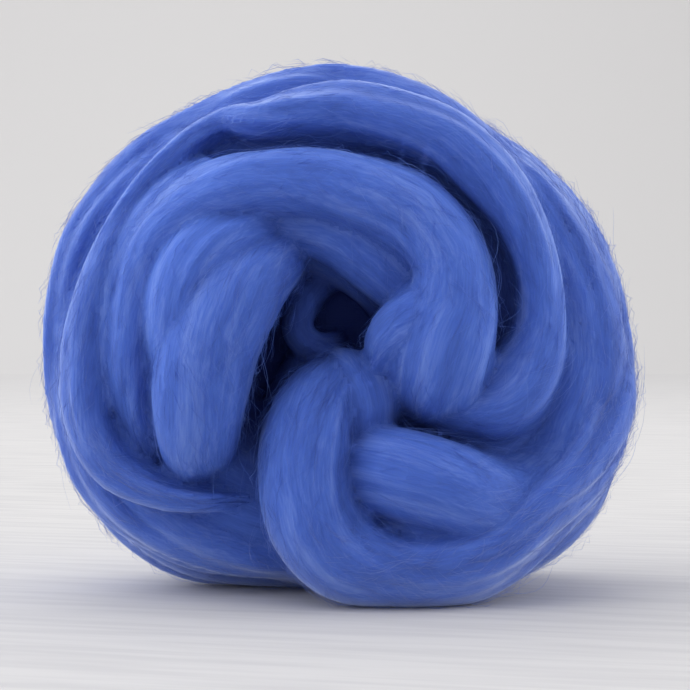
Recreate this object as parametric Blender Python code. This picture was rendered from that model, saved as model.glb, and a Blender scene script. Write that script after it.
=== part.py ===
"""A loose ball of combed wool roving, wound by hand from one soft strand and stood on its rim.

Units are metres, +Z is up, and the face with the folds looks along -Y. The origin is the middle
of the ball's footprint, on the floor. The strand starts in the hollow of the face, makes its turns
outwards round the rim, crosses to the back and is coiled in there. All its turns are one solid.
"""

import math
from collections import namedtuple

import bmesh
import bpy
from mathutils import Matrix, Vector

MM = 0.001

# Driving dimensions of the wound ball, in millimetres.
BALL_WIDTH = 160
BALL_HEIGHT = 141
RIM_LEAN = -0.045  # the crown sits a little to the left of the foot
CROWN_FULLNESS = 1.88  # exponent of the rim's curve above the middle: 2 is a plain oval
FOOT_FULLNESS = 2.7  # below the middle the ball is pressed flatter by its own weight
SQUASH = 1.2  # how far the turns would reach under the floor if it didn't press them flat

# How the surface is made.
SECTION_SIDES = 28
STEP = 2.5  # distance between two sections of a strand
TIP_ROUNDNESS = 0.7  # how far a strand's tip stands out, as a share of its half width
VOXEL = 1.35  # the turns are fused on a grid this fine
SOFTENING = 0.5
SOFTENING_ROUNDS = 6
TRIANGLES = 11000
EVENING = 0.35  # a lighter softening, once the triangles are thinned out
EVENING_ROUNDS = 2
WOOL_BLUE = (0.068, 0.129, 0.454, 1.0)

# One section of a strand: its centre, its half width in the plane of the face ("across"), and its
# half thickness at right angles to that ("through"), in millimetres.
Section = namedtuple("Section", "x y z across through")

# The hook: a broad turn that rises on the left, arches over and folds under itself on the right.
HOOK = [
    Section(-45, -3, 33, 3, 6),
    Section(-51, -14, 43, 4.5, 8),
    Section(-54, -20, 54, 5.5, 9),
    Section(-54.5, -22, 65, 6, 10),
    Section(-53, -23, 79, 6.5, 10),
    Section(-48, -23, 92, 7.5, 11),
    Section(-39, -24, 101, 8.5, 11),
    Section(-27, -25, 106, 10, 12),
    Section(-12, -25, 107, 11.5, 12),
    Section(2, -26, 105, 12.5, 13),
    Section(15.5, -27, 98.5, 15, 14),
    Section(27, -29, 86, 14, 14),
    Section(25, -30, 74, 17.5, 13),
    Section(24, -28, 64, 16, 13),
    Section(24, -20, 57, 12, 12),
    Section(24, -7, 54, 9, 10),
]

# The inner side of the hook, which slopes away into the hollow.
FUNNEL = [
    Section(-30, -14, 102, 6, 8),
    Section(-14, -16, 101, 9, 9),
    Section(0, -15, 93, 12, 9),
    Section(11, -12, 84, 13, 9),
    Section(20, -8, 74, 11, 9),
]

# The left lobe: it comes out of the hollow, turns down and is folded under at its foot.
LEFT_LOBE = [
    Section(-3, -4, 85, 6, 6),
    Section(-10, -15, 88, 9, 9),
    Section(-19, -24, 87, 13.5, 12),
    Section(-27, -29, 80, 16, 13),
    Section(-32, -30, 68, 14.5, 13),
    Section(-34.5, -30, 57, 13, 13),
    Section(-35.5, -28, 49, 12.5, 12),
    Section(-36, -21, 42.5, 11, 11),
    Section(-36, -8, 39, 9, 10),
]

# A thin lock that lies between the left lobe and the hook.
LEFT_LOCK = [
    Section(-48, -12, 45, 2.5, 5),
    Section(-48, -21, 62, 3, 8),
    Section(-46, -26, 76, 3.5, 9),
    Section(-41, -28, 88, 4, 9),
    Section(-34, -28, 95, 4.5, 9),
    Section(-25, -27, 97, 4.5, 9),
    Section(-15, -22, 96, 4, 8),
    Section(-8, -13, 92, 3, 6),
]

# The front turn drops out of the hollow, lies along the floor and climbs the right of the rim.
FRONT_DROP = [
    Section(3, -2, 61, 4, 6),
    Section(-1, -13, 59, 6.5, 8),
    Section(-5, -23, 54, 9, 11),
    Section(-8, -28, 46, 10.5, 13),
    Section(-9, -29, 35, 11, 13),
    Section(-6, -28, 22, 12, 13),
    Section(2, -26, 13, 11.5, 13),
    Section(15, -25, 8.5, 9, 13),
    Section(28, -24, 8.5, 9, 13),
    Section(41, -22, 13, 8.5, 13),
    Section(53, -19, 23.5, 8.5, 13),
    Section(66, -14, 37, 8, 13),
]

# A short bight beside the top of the front turn.
KNUCKLE = [
    Section(1, -8, 62, 4, 6),
    Section(5, -19, 60, 6, 9),
    Section(9, -23, 55, 6.5, 10),
    Section(10, -22, 49, 6, 10),
    Section(7, -15, 43, 5, 9),
    Section(3, -6, 37, 4, 8),
]

# The heel: a thick fold low on the right, which runs out to the rim beside the front turn.
HEEL = [
    Section(10, -4, 33, 10, 10),
    Section(11, -18, 34, 13.5, 12),
    Section(17, -27, 34, 14.5, 12),
    Section(28, -27, 32.5, 12.5, 12),
    Section(38, -25, 32.5, 10.5, 12),
    Section(48, -21, 35, 8.5, 12),
    Section(57, -17, 42, 7.5, 12),
]

# The fan: its fibres spread from a point by the hollow into the turn inside the rim, which goes up
# the right, over the top to a pinch, down the left and back behind the front turn.
FAN = [
    Section(14, -10, 51, 2.5, 5),
    Section(22, -18, 50, 4.5, 8),
    Section(32, -21, 49.5, 7, 10),
    Section(42, -23, 52, 9.5, 12),
    Section(48, -22, 61, 10, 12),
    Section(50.5, -20, 72, 10, 12),
    Section(50.5, -20, 85, 9.5, 12),
    Section(46, -19, 98, 9, 12),
    Section(39, -19, 109, 9.5, 12),
    Section(28, -19, 119, 10, 12),
    Section(16, -19, 124, 9.5, 12),
    Section(3, -17, 127, 9, 12),
    Section(-10, -17, 126, 8.5, 12),
    Section(-21, -17, 123, 6.5, 11),
    Section(-30, -16, 120, 4.5, 10),
    Section(-40, -16, 115, 5, 10),
    Section(-51, -16, 104, 5.5, 10),
    Section(-60, -17, 88, 6.5, 11),
    Section(-65, -17, 68, 7.5, 11),
    Section(-65, -17, 50, 7.5, 11),
    Section(-58, -17, 36, 7, 11),
    Section(-45, -17, 29.5, 6, 10),
    Section(-32, -14, 28, 5, 10),
    Section(-19, -6, 28, 4.5, 9),
]

# The small curl at the bottom of the hollow.
CURL = [
    Section(-3, 0, 90, 4, 5),
    Section(-5, -9, 87, 4, 5),
    Section(-9, -14, 81, 4.5, 5),
    Section(-10.5, -17, 75, 4.5, 5),
    Section(-8.5, -18, 70, 4, 5),
    Section(-4, -17, 68.5, 4, 5),
    Section(0, -12, 70, 3.5, 4.5),
    Section(2, -4, 74, 3, 4),
]

# A strand deep in the gap between the left lobe and the front turn.
DEEP_STRAND = [
    Section(-6, -1, 72, 4, 6),
    Section(-13, -10, 55, 5.5, 7),
    Section(-18, -12, 39, 6, 8),
    Section(-19, -4, 24, 6, 8),
]

# Turns that follow the rim. "clock" is the angle round the rim, 0 at the right and 90 at the
# crown; "inset" is how far in from the rim's curve the middle of the strand runs.
RimRow = namedtuple("RimRow", "clock inset y across through")

# The front turn goes on round the rim twice, stepping back each time.
OUTER_TURNS = [
    RimRow(-8, 8, -7, 8, 13),
    RimRow(20, 7.5, -1, 7.5, 12),
    RimRow(50, 7, 2, 7.5, 12),
    RimRow(90, 7, 3, 7, 12),
    RimRow(130, 7, 5, 7, 12),
    RimRow(175, 7.5, 7, 7.5, 12),
    RimRow(205, 7.5, 9, 8, 13),
    RimRow(232, 6.5, 12, 9, 13),
    RimRow(255, 8.5, 14, 10, 13),
    RimRow(290, 10, 16, 9.5, 12),
    RimRow(330, 9, 17, 9, 12),
    RimRow(370, 9, 19, 9, 12),
    RimRow(410, 10, 22, 9, 12),
    RimRow(450, 11, 23, 9, 12),
    RimRow(490, 12, 24, 9, 12),
    RimRow(535, 12, 26, 9.5, 12),
    RimRow(580, 13, 29, 10, 12),
    RimRow(630, 13, 32, 11, 12),
]

# The heel's turn lies between the fan's and the outer one. It goes all the way round, and its end
# is tucked in behind the front turn, where it fills the foot of the ball.
MIDDLE_TURN = [
    RimRow(-4, 16, -13, 8, 12),
    RimRow(20, 16, -11, 7.5, 12),
    RimRow(45, 15, -10, 7.5, 12),
    RimRow(70, 12, -9, 7, 12),
    RimRow(95, 11, -7, 6, 12),
    RimRow(125, 10, -5, 5.5, 11),
    RimRow(155, 10, -4, 5.5, 11),
    RimRow(185, 10, -4, 6, 12),
    RimRow(210, 11.5, -4, 8, 12),
    RimRow(232, 14, -3, 10, 12),
    RimRow(252, 15, 0, 11.5, 12),
    RimRow(275, 13, 1, 11.5, 13),
    RimRow(300, 12, -2, 11.5, 13),
    RimRow(325, 13, -3, 11, 13),
    RimRow(348, 17, -3, 10, 13),
]

# The back: the strand is coiled in to the middle, and its tail is tucked there.
BACK_COIL_START = 630  # clock of the last section of the outer turns
BACK_COIL_END = 1470
BACK_COIL_OUTER = 0.80  # share of the rim's size where the coil starts
BACK_COIL_INNER = 0.10
BACK_COIL_ROWS = 30
BACK_FACE = 34  # depth of the strand's middle on the back
BACK_DISH = 7  # how much deeper the middle of the coil sinks
BACK_HALF_WIDTH = 12.5
BACK_HALF_THICKNESS = 11
BACK_TAIL_START = 0.75  # share of the coil's length after which the tail thins out
BACK_TAIL_HALF_WIDTH = 7
BACK_TAIL_HALF_THICKNESS = 8
BACK_TAIL_TUCK = 10  # how deep the tail's end is pushed into the ball

# The buried middle of the ball, a plain oval body that the turns lie on.
CORE_CENTRE = (0, 12, 68)
CORE_HALF_SIZES = (65, 24, 60)


def clear_scene():
    for obj in list(bpy.data.objects):
        bpy.data.objects.remove(obj, do_unlink=True)


def rim_point(clock, share=1.0):
    """The point of the rim's curve at that clock angle, drawn in to a share of its size."""
    angle = math.radians(clock)
    cosine, sine = math.cos(angle), math.sin(angle)
    fullness = CROWN_FULLNESS if sine > 0 else FOOT_FULLNESS
    across = math.copysign(abs(cosine) ** (2 / fullness), cosine) * share
    up = math.copysign(abs(sine) ** (2 / fullness), sine) * share
    middle = BALL_HEIGHT / 2
    rise = up * (middle + (SQUASH if sine < 0 else 0))
    return across * BALL_WIDTH / 2 + RIM_LEAN * rise, middle + rise


def rim_sections(rows):
    """Sections for a turn that follows the rim, each moved in from the curve by its inset."""
    sections = []
    for row in rows:
        x, z = rim_point(row.clock)
        outwards = Vector((x, z - BALL_HEIGHT / 2)).normalized()
        sections.append(
            Section(
                x - outwards.x * row.inset,
                row.y,
                z - outwards.y * row.inset,
                row.across,
                row.through,
            )
        )
    return sections


def back_coil_sections():
    """The strand's turns on the back, from the rim in to the tucked tail."""
    sections = []
    for index in range(1, BACK_COIL_ROWS + 1):
        way = index / BACK_COIL_ROWS
        clock = BACK_COIL_START + (BACK_COIL_END - BACK_COIL_START) * way
        share = BACK_COIL_OUTER + (BACK_COIL_INNER - BACK_COIL_OUTER) * way
        x, z = rim_point(clock, share)
        tail = max(0.0, way - BACK_TAIL_START) / (1 - BACK_TAIL_START)
        sections.append(
            Section(
                x,
                BACK_FACE - BACK_DISH * way - BACK_TAIL_TUCK * tail**2,
                z,
                BACK_HALF_WIDTH + (BACK_TAIL_HALF_WIDTH - BACK_HALF_WIDTH) * tail,
                BACK_HALF_THICKNESS + (BACK_TAIL_HALF_THICKNESS - BACK_HALF_THICKNESS) * tail,
            )
        )
    return sections


def smooth_route(rows):
    """Sections every STEP millimetres along a smooth curve through the given ones."""
    points = [Vector(row) for row in rows]
    points = [2 * points[0] - points[1]] + points + [2 * points[-1] - points[-2]]
    route = []
    for before, start, end, after in zip(points, points[1:], points[2:], points[3:]):
        gap = (end.xyz - start.xyz).length
        steps = max(2, round(gap / STEP))
        for step in range(steps):
            t = step / steps
            route.append(
                0.5
                * (
                    2 * start
                    + (end - before) * t
                    + (2 * before - 5 * start + 4 * end - after) * t**2
                    + (3 * start - before - 3 * end + after) * t**3
                )
            )
    route.append(points[-2])
    return route


def add_strand(bm, rows):
    """Adds one closed soft tube through the given sections, with round ends."""
    route = smooth_route(rows)
    centres = [Vector(row[:3]) for row in route]
    normal = Vector((0, -1, 0))
    rings = []
    last = len(route) - 1
    for index, row in enumerate(route):
        tangent = (centres[min(index + 1, last)] - centres[max(index - 1, 0)]).normalized()
        # The section turns with the strand, but never more than it has to.
        normal = (normal - normal.dot(tangent) * tangent).normalized()
        sideways = tangent.cross(normal)
        ring = []
        for side in range(SECTION_SIDES):
            angle = 2 * math.pi * side / SECTION_SIDES
            offset = sideways * (math.cos(angle) * row[3]) + normal * (math.sin(angle) * row[4])
            ring.append(bm.verts.new((centres[index] + offset) * MM))
        rings.append(ring)
    for ring, following in zip(rings, rings[1:]):
        for side in range(SECTION_SIDES):
            beside = (side + 1) % SECTION_SIDES
            bm.faces.new((ring[side], ring[beside], following[beside], following[side]))
    for ring, centre, row, outwards in (
        (rings[0], centres[0], route[0], (centres[0] - centres[1]).normalized()),
        (rings[-1], centres[-1], route[-1], (centres[-1] - centres[-2]).normalized()),
    ):
        tip = bm.verts.new((centre + outwards * min(row[3], row[4]) * TIP_ROUNDNESS) * MM)
        for side in range(SECTION_SIDES):
            bm.faces.new((ring[side], ring[(side + 1) % SECTION_SIDES], tip))


def add_core(bm):
    size = Matrix.Diagonal(Vector(CORE_HALF_SIZES) * MM).to_4x4()
    place = Matrix.Translation(Vector(CORE_CENTRE) * MM)
    bmesh.ops.create_icosphere(bm, subdivisions=5, radius=1, matrix=place @ size)


def wound_turns():
    """All the turns and the core as overlapping closed shells in one mesh."""
    bm = bmesh.new()
    outer = FRONT_DROP + rim_sections(OUTER_TURNS) + back_coil_sections()
    middle = HEEL + rim_sections(MIDDLE_TURN)
    for rows in (
        HOOK,
        FUNNEL,
        LEFT_LOBE,
        LEFT_LOCK,
        outer,
        KNUCKLE,
        middle,
        FAN,
        CURL,
        DEEP_STRAND,
    ):
        add_strand(bm, rows)
    add_core(bm)
    bmesh.ops.recalc_face_normals(bm, faces=bm.faces)
    mesh = bpy.data.meshes.new("wound_turns")
    bm.to_mesh(mesh)
    bm.free()
    return mesh


def settle(obj):
    """Replaces an object's mesh by what its modifiers make of it."""
    graph = bpy.context.evaluated_depsgraph_get()
    mesh = bpy.data.meshes.new_from_object(obj.evaluated_get(graph))
    obj.modifiers.clear()
    obj.data = mesh


def fuse(obj):
    """Makes one skin of the overlapping turns, with soft creases between them."""
    remesh = obj.modifiers.new("fuse", "REMESH")
    remesh.mode = "VOXEL"
    remesh.voxel_size = VOXEL * MM
    smooth = obj.modifiers.new("soften", "SMOOTH")
    smooth.factor = SOFTENING
    smooth.iterations = SOFTENING_ROUNDS
    settle(obj)


def thin_out(obj):
    """Keeps the triangles where the form turns, down to the number wanted."""
    obj.data.calc_loop_triangles()
    decimate = obj.modifiers.new("thin_out", "DECIMATE")
    decimate.ratio = TRIANGLES / len(obj.data.loop_triangles)
    decimate.use_collapse_triangulate = True
    smooth = obj.modifiers.new("even_out", "SMOOTH")
    smooth.factor = EVENING
    smooth.iterations = EVENING_ROUNDS
    settle(obj)


def centre(obj):
    """Puts the middle of the ball's footprint over the origin."""
    places = [vertex.co for vertex in obj.data.vertices]
    shift = Vector((0, 0, 0))
    for axis in (0, 1):
        along = [place[axis] for place in places]
        shift[axis] = -(min(along) + max(along)) / 2
    obj.data.transform(Matrix.Translation(shift))


def press_foot(obj):
    """Presses the ball flat where it stands: what would reach under the floor is taken off."""
    mesh = bpy.data.meshes.new("floor")
    bm = bmesh.new()
    reach = BALL_WIDTH * 2 * MM
    bmesh.ops.create_cube(bm, size=reach, matrix=Matrix.Translation((0, 0, -reach / 2)))
    bm.to_mesh(mesh)
    bm.free()
    floor = bpy.data.objects.new("floor_cutter", mesh)
    bpy.context.scene.collection.objects.link(floor)
    cut = obj.modifiers.new("foot", "BOOLEAN")
    cut.operation = "DIFFERENCE"
    cut.object = floor
    settle(obj)
    bpy.data.objects.remove(floor, do_unlink=True)


def wool_material():
    material = bpy.data.materials.new("combed_wool")
    material.use_nodes = True
    shader = material.node_tree.nodes["Principled BSDF"]
    shader.inputs["Base Color"].default_value = WOOL_BLUE
    shader.inputs["Roughness"].default_value = 0.95
    shader.inputs["Metallic"].default_value = 0.0
    shader.inputs["Sheen Weight"].default_value = 0.5
    material.diffuse_color = WOOL_BLUE
    return material


def make_ball():
    ball = bpy.data.objects.new("roving_ball", wound_turns())
    bpy.context.scene.collection.objects.link(ball)
    fuse(ball)
    thin_out(ball)
    press_foot(ball)
    centre(ball)
    ball.data.shade_smooth()
    ball.data.materials.clear()
    ball.data.materials.append(wool_material())
    return ball


clear_scene()
make_ball()
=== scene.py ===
import math
from collections import namedtuple

import bmesh
import bpy
import numpy as np
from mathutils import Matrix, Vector, noise


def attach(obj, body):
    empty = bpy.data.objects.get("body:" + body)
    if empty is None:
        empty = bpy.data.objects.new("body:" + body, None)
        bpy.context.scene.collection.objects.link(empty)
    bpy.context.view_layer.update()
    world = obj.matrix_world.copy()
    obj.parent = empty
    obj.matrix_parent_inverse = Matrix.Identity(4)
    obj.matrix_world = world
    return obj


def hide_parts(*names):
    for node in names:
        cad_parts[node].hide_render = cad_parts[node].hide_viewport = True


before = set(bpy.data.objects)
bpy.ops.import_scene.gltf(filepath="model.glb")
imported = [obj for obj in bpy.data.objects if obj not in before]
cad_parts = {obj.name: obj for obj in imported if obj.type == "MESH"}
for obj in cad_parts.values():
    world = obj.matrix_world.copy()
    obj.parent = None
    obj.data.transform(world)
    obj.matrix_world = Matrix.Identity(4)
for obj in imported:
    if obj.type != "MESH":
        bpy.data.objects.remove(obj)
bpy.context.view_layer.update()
scene = bpy.context.scene

# ------------------------------------------------------------
# The wound turns. The ball is one strand of combed wool, about 28 mm thick where it lies loose and
# more than 2 m long, folded and wound by hand. It starts in the hollow of the face, is laid round the
# rim turn by turn and is coiled in on the back. Each fold that shows is swept as its own closed tube.
# ------------------------------------------------------------
MM = 0.001
BALL_WIDTH = 160
BALL_HEIGHT = 141
RIM_LEAN = -0.045  # the crown sits a little to the left of the foot
CROWN_FULLNESS = 1.88
FOOT_FULLNESS = 2.7
SQUASH = 1.2
FOOTPRINT_SHIFT = (0.26, -0.41)  # puts the middle of the footprint over the origin
FLOOR_SOFTNESS = 0.5  # over this height the wool eases into the flat of its foot

# A strand is given by its sections. Each is a row with the x, y and z of its centre, its half width
# in the plane of the face, and its half thickness at right angles to that, in millimetres.

# The hook rises on the left, arches over the hollow and folds under itself on the right.
HOOK = [
    (-45, -3, 33, 3, 6),
    (-51, -14, 43, 4.5, 8),
    (-54, -20, 54, 5.5, 9),
    (-54.5, -22, 65, 6, 10),
    (-53, -23, 79, 6.5, 10),
    (-48, -23, 92, 7.5, 11),
    (-39, -24, 101, 8.5, 11),
    (-27.5, -25, 107, 9, 12),
    (-12, -25, 109, 9.5, 12),
    (3, -26, 107, 10, 13),
    (18.5, -27, 101, 10.5, 13),
    (28.2, -28, 90, 10, 13),
    (29.4, -29, 78, 11.6, 13),
    (26.5, -29, 67, 14.2, 13),
    (25.5, -22, 58.5, 13, 12),
    (25, -8, 55, 9, 10),
]

# Its end is rolled over to the left, towards the hollow.
HOOK_TIP = [
    (34, -24, 86, 6, 9),
    (27, -28, 78.5, 9, 10),
    (20.5, -28, 73.5, 9, 11),
    (15, -27, 70, 7.5, 10),
    (13.5, -21, 65, 6.5, 8),
    (14, -11, 61, 5, 7),
]

# The inner side of the hook slopes away into the hollow, in two steps.
FUNNEL = [
    (-34, -17, 101, 5, 8),
    (-16, -20, 101, 9, 9),
    (0, -20, 98, 11, 9.5),
    (13, -19, 90, 12, 9.5),
    (22, -18, 79, 10, 9),
    (24, -12, 70, 7, 8),
]
FUNNEL_DEEP = [
    (-19, -6, 95, 6, 7),
    (-4, -10, 93, 8, 9),
    (9, -9, 85, 8, 9),
    (17, -5, 74, 7, 8),
    (19, 2, 66, 6, 7),
]

# The left lobe comes out of the hollow, turns down and is folded under at its foot.
LEFT_LOBE = [
    (-17, -2, 84, 8, 8),
    (-18, -12, 87, 10, 9),
    (-20.5, -23, 87, 12, 11),
    (-26.5, -29, 80.5, 15, 13),
    (-32, -30, 68, 14.5, 13),
    (-34.5, -30, 57, 13, 13),
    (-35.5, -28, 49, 12.5, 12),
    (-36, -21, 42.5, 11, 11),
    (-36, -8, 39, 9, 10),
]

# The shoulder of the left lobe is pulled over to the left, up to the hook.
SHOULDER = [
    (-18, -20, 95, 5, 8),
    (-27, -27, 95, 8, 11),
    (-35, -30, 89, 9.5, 12),
    (-40, -30, 79, 9, 12),
    (-43, -28, 68, 6.5, 11),
    (-44, -20, 57, 4, 8),
]

# A thin lock lies between the left lobe and the hook.
LEFT_LOCK = [
    (-48, -12, 45, 2.5, 5),
    (-48, -21, 62, 3, 8),
    (-46, -26, 76, 3.5, 9),
    (-41, -25, 88, 4, 9),
]

# The front turn drops out of the hollow, lies along the floor and climbs the right of the rim.
FRONT_DROP = [
    (3, -2, 61, 4, 6),
    (-1, -13, 59, 6.5, 8),
    (-5, -23, 54, 9, 11),
    (-8, -28, 46, 10.5, 13),
    (-9, -29, 35, 11, 13),
    (-6, -28, 22, 12, 13),
    (2, -26, 13, 11.5, 13),
    (15, -25, 8.5, 9, 13),
    (28, -24, 8.5, 9, 13),
    (41, -22, 13, 8.5, 13),
    (53, -19, 23.5, 8.5, 13),
    (66, -14, 37, 8, 13),
]

# A short bight beside the top of the front turn.
KNUCKLE = [
    (1, -8, 62, 4, 6),
    (5, -19, 60, 6, 9),
    (9, -23, 55, 6.5, 10),
    (10, -22, 49, 6, 10),
    (7, -15, 43, 5, 9),
    (3, -6, 37, 4, 8),
]

# The heel: a thick fold low on the right, which runs out to the rim beside the front turn.
HEEL = [
    (10, -4, 33, 10, 10),
    (11, -18, 34, 13.5, 12),
    (17, -27, 34, 14.5, 12),
    (27, -27, 31.5, 13.5, 12),
    (38, -24, 28.5, 10.5, 12),
    (48, -20, 30, 7, 11),
    (57, -16, 38, 6.5, 12),
]

# The fan's fibres spread from a point by the hollow into the turn inside the rim, which goes up
# the right, over the top to a pinch, down the left and back behind the front turn.
FAN = [
    (14, -10, 51, 2.5, 5),
    (22, -18, 50, 4.5, 8),
    (32, -21, 49.5, 7, 10),
    (43, -22, 53, 10.5, 12),
    (49.5, -20, 62, 10, 12),
    (52, -19, 72, 8, 12),
    (51.5, -19, 85, 7, 12),
    (47, -19, 98.5, 7.5, 12),
    (39.5, -19, 109.5, 8.5, 12),
    (28.5, -19, 119.5, 8.5, 12),
    (16, -19, 124.5, 8.5, 12),
    (3, -17, 127, 9, 12),
    (-10, -17, 126, 8.5, 12),
    (-21, -17, 124.5, 6.5, 11),
    (-29, -15, 124.5, 4, 9),
    (-37, -14, 120, 4.5, 9),
    (-45, -15, 112, 5.5, 10),
    (-53, -16, 102, 6, 10),
    (-60, -17, 88, 6.5, 11),
    (-65, -17, 68, 7.5, 11),
    (-65, -17, 50, 7.5, 11),
    (-58, -17, 36, 7, 11),
    (-45, -17, 29.5, 6, 10),
    (-32, -14, 28, 5, 10),
    (-19, -6, 28, 4.5, 9),
]

# The small curl at the bottom of the hollow.
CURL = [
    (1, 2, 84, 4, 5),
    (-4, -6, 83, 5, 5),
    (-8.5, -11, 78, 5, 5),
    (-10.5, -13, 72, 5, 5),
    (-8, -14, 67.5, 4.5, 5),
    (-3, -12, 66.5, 4, 4.5),
    (0, -6, 68, 3.5, 4),
]

# A strand deep in the gap between the left lobe and the front turn.
DEEP_STRAND = [
    (-6, -1, 72, 4, 6),
    (-13, -10, 55, 5.5, 7),
    (-18, -12, 39, 6, 8),
    (-19, -4, 24, 6, 8),
]

# A strand laid under the crease between the hook and the fan is its shaded bottom.
CREASE_BED = [
    (4, -6, 122, 5, 8),
    (19, -9, 115, 6, 9),
    (32, -10, 104, 6, 9),
    (41, -10, 90, 6, 9),
    (44, -10, 76, 6, 9),
    (41, -10, 62, 6, 9),
    (32, -14, 50, 7, 9),
    (40, -15, 42, 8, 9),
    (52, -13, 46, 7, 9),
]

# A flat strand fills the crease between the hook and the fan's turn on the left.
LEFT_BED = [
    (-33, -17, 114, 3, 7),
    (-42, -18.5, 107.5, 4.5, 8.5),
    (-50.5, -19.5, 97.5, 5, 9),
    (-56.5, -20, 83.5, 5, 9),
    (-59, -19, 66.5, 4.5, 8),
    (-58.5, -17, 52, 4, 7),
]

# A thin strand closes the crease between the heel and the front turn.
HEEL_TUCK = [
    (8, -16, 24, 4, 6),
    (20, -21, 20.5, 6, 9),
    (34, -22, 20, 6.5, 9),
    (48, -20, 24, 6, 9),
    (60, -15, 33, 5, 8),
]

# Turns that follow the rim. Each row has the angle round the rim, 0 at the right and 90 at the
# crown, how far in from the rim's curve the strand's middle runs, then y, half width and half
# thickness.

# The front turn goes on round the rim almost twice, stepping back all the way.
OUTER_TURNS = [
    (-8, 8, -7, 8, 13),
    (20, 7.5, -1, 7.5, 12),
    (50, 7.5, 2, 7.5, 12),
    (90, 8.8, 2, 7, 12),
    (130, 7, 3, 7, 12),
    (175, 7.5, 5, 7.5, 12),
    (205, 7.5, 9, 8, 13),
    (232, 6.5, 12, 9, 13),
    (255, 8.5, 14, 10, 13),
    (290, 10, 16, 9.5, 12),
    (330, 9, 17, 9, 12),
    (370, 9, 19, 9, 12),
    (410, 10, 22, 9, 12),
    (450, 11, 23, 9, 12),
    (490, 12, 24, 9, 12),
    (535, 12, 26, 9.5, 12),
    (580, 13, 29, 10, 12),
    (630, 13, 32, 11, 12),
]

# The heel's turn lies between the fan's and the outer one. It goes all the way round, and its end
# is tucked in behind the front turn.
MIDDLE_TURN = [
    (-4, 16, -13, 8, 12),
    (20, 16, -11, 7.5, 12),
    (45, 15, -10, 7.5, 12),
    (70, 12, -9, 7, 12),
    (95, 12, -10, 7, 12),
    (125, 12, -9.5, 7.5, 12),
    (155, 12, -9, 7.5, 12),
    (185, 11.5, -7, 7.5, 12),
    (210, 11.5, -4, 8, 12),
    (232, 14, -3, 10, 12),
    (252, 15, 0, 11.5, 12),
    (275, 13, 1, 11.5, 13),
    (300, 12, -2, 11.5, 13),
    (325, 13, -3, 11, 13),
    (348, 17, -3, 10, 13),
]

# The back: the strand is coiled in to the middle, and its tail is tucked there.
BACK_COIL_START = 630
BACK_COIL_END = 1470
BACK_COIL_OUTER = 0.80
BACK_COIL_INNER = 0.10
BACK_COIL_ROWS = 30
BACK_FACE = 34
BACK_DISH = 7
BACK_HALF_WIDTH = 12.5
BACK_HALF_THICKNESS = 11
BACK_TAIL_START = 0.75
BACK_TAIL_HALF_WIDTH = 7
BACK_TAIL_HALF_THICKNESS = 8
BACK_TAIL_TUCK = 10

# The relief of combed wool, in millimetres: soft lumps, the splits between locks, and the ridges
# within a lock. Each runs much longer along the strand than it is wide.
LUMP_HEIGHT, LUMP_LENGTH, LUMP_WIDTH = 1.1, 45, 20
SPLIT_DEPTH, SPLIT_LENGTH, SPLIT_SPACING, SPLIT_SHARPNESS = 1.7, 75, 8, 0.13
RIDGE_HEIGHT, RIDGE_LENGTH, RIDGE_WIDTH = 0.7, 32, 4.5
FINE_HEIGHT, FINE_LENGTH, FINE_WIDTH = 0.25, 9, 2.5
SPLIT_SHIFT, RIDGE_SHIFT, FINE_SHIFT = 7, 13, 19  # keep the kinds of relief apart
RELIEF_CHANGE = 100  # the length over which a strand's relief changes
RELIEF_FLOOR = -0.4  # leaves room for the fibres that lie on top
SIDE_SPACING = 1.0  # distance between two vertices around a strand
STEP = 2.5  # and along it
FEWEST_SIDES = 20
LOT_LENGTH = 1000
TIP_ROUNDNESS = 0.7


def rim_point(clock, share=1.0):
    """The point of the rim's curve at that clock angle, drawn in to a share of its size."""
    angle = math.radians(clock)
    cosine, sine = math.cos(angle), math.sin(angle)
    fullness = CROWN_FULLNESS if sine > 0 else FOOT_FULLNESS
    across = math.copysign(abs(cosine) ** (2 / fullness), cosine) * share
    up = math.copysign(abs(sine) ** (2 / fullness), sine) * share
    middle = BALL_HEIGHT / 2
    rise = up * (middle + (SQUASH if sine < 0 else 0))
    return across * BALL_WIDTH / 2 + RIM_LEAN * rise, middle + rise


def rim_sections(rows):
    """Sections for a turn that follows the rim, each moved in from the curve by its inset."""
    sections = []
    for clock, inset, y, half_width, half_thickness in rows:
        x, z = rim_point(clock)
        outwards = Vector((x, z - BALL_HEIGHT / 2)).normalized()
        x -= outwards.x * inset
        z -= outwards.y * inset
        sections.append((x, y, z, half_width, half_thickness))
    return sections


def back_coil_sections():
    """The strand's turns on the back, from the rim in to the tucked tail."""
    sections = []
    for index in range(1, BACK_COIL_ROWS + 1):
        way = index / BACK_COIL_ROWS
        clock = BACK_COIL_START + (BACK_COIL_END - BACK_COIL_START) * way
        x, z = rim_point(clock, BACK_COIL_OUTER + (BACK_COIL_INNER - BACK_COIL_OUTER) * way)
        tail = max(0.0, way - BACK_TAIL_START) / (1 - BACK_TAIL_START)
        y = BACK_FACE - BACK_DISH * way - BACK_TAIL_TUCK * tail**2
        half_width = BACK_HALF_WIDTH + (BACK_TAIL_HALF_WIDTH - BACK_HALF_WIDTH) * tail
        half_thickness = BACK_HALF_THICKNESS + (BACK_TAIL_HALF_THICKNESS - BACK_HALF_THICKNESS) * tail
        sections.append((x, y, z, half_width, half_thickness))
    return sections


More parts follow.
